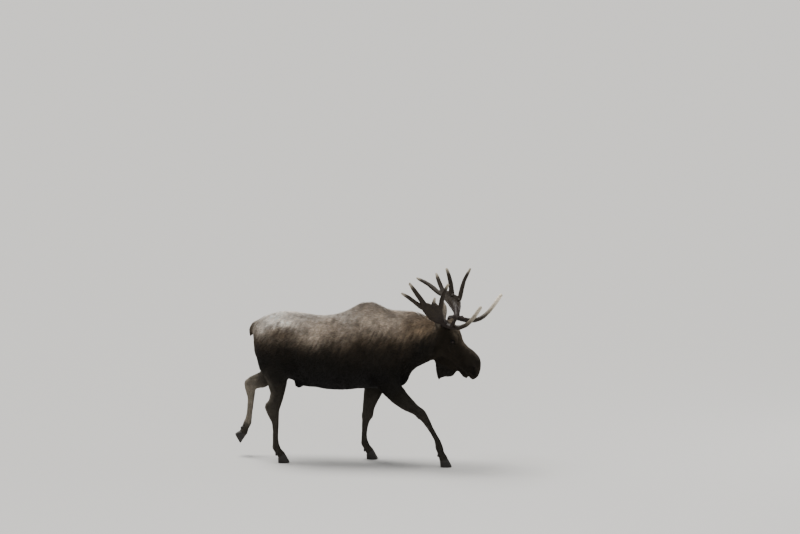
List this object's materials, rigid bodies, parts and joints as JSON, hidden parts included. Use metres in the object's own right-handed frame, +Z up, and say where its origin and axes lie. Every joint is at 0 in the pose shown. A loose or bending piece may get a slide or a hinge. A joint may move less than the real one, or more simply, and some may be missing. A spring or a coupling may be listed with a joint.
{
  "type": "bull moose figure",
  "caption": "Life-size still bull moose walking with its head lowered: deep body, shoulder hump, long muzzle, throat bell, palmed antlers, and legs in mid stride with a hind foot lifted.",
  "frame": {"origin": "on the floor, under the middle of the animal's box", "axes": "+X the way the animal walks, +Y to its left, +Z up"},
  "size_m": [2.9186, 1.0766, 2.0949],
  "materials": {
    "body_hide": "short to long dark brown coat over hide",
    "leg_hide": "short grey-brown coat of the lower legs",
    "antler_bone": "dull brown bone, paler at the tips",
    "hoof_horn": "near-black horn, low sheen",
    "eye_dark": "wet dark brown eye"
  },
  "bodies": {
    "root": {"bell": "body_hide", "head": "body_hide", "left_antler_beam": "antler_bone", "left_antler_brow": "antler_bone", "left_antler_palm": "antler_bone", "left_antler_tine_a": "antler_bone", "left_antler_tine_b": "antler_bone", "left_antler_tine_c": "antler_bone", "left_antler_tine_d": "antler_bone", "left_ear": "body_hide", "left_eye": "eye_dark", "left_fore_cannon": "leg_hide", "left_fore_dewclaw_inner": "hoof_horn", "left_fore_dewclaw_outer": "hoof_horn", "left_fore_forearm": "body_hide", "left_fore_hoof_inner": "hoof_horn", "left_fore_hoof_outer": "hoof_horn", "left_fore_pastern": "leg_hide", "left_fore_upper_arm": "body_hide", "left_hind_cannon": "leg_hide", "left_hind_dewclaw_inner": "hoof_horn", "left_hind_dewclaw_outer": "hoof_horn", "left_hind_gaskin": "body_hide", "left_hind_hoof_inner": "hoof_horn", "left_hind_hoof_outer": "hoof_horn", "left_hind_pastern": "leg_hide", "left_hind_thigh": "body_hide", "lower_jaw": "body_hide", "neck": "body_hide", "right_antler_beam": "antler_bone", "right_antler_brow": "antler_bone", "right_antler_palm": "antler_bone", "right_antler_tine_a": "antler_bone", "right_antler_tine_b": "antler_bone", "right_antler_tine_c": "antler_bone", "right_antler_tine_d": "antler_bone", "right_ear": "body_hide", "right_eye": "eye_dark", "right_fore_cannon": "leg_hide", "right_fore_dewclaw_inner": "hoof_horn", "right_fore_dewclaw_outer": "hoof_horn", "right_fore_forearm": "body_hide", "right_fore_hoof_inner": "hoof_horn", "right_fore_hoof_outer": "hoof_horn", "right_fore_pastern": "leg_hide", "right_fore_upper_arm": "body_hide", "right_hind_cannon": "leg_hide", "right_hind_dewclaw_inner": "hoof_horn", "right_hind_dewclaw_outer": "hoof_horn", "right_hind_gaskin": "body_hide", "right_hind_hoof_inner": "hoof_horn", "right_hind_hoof_outer": "hoof_horn", "right_hind_pastern": "leg_hide", "right_hind_thigh": "body_hide", "tail": "body_hide", "trunk": "body_hide"}
  },
  "joints": []
}
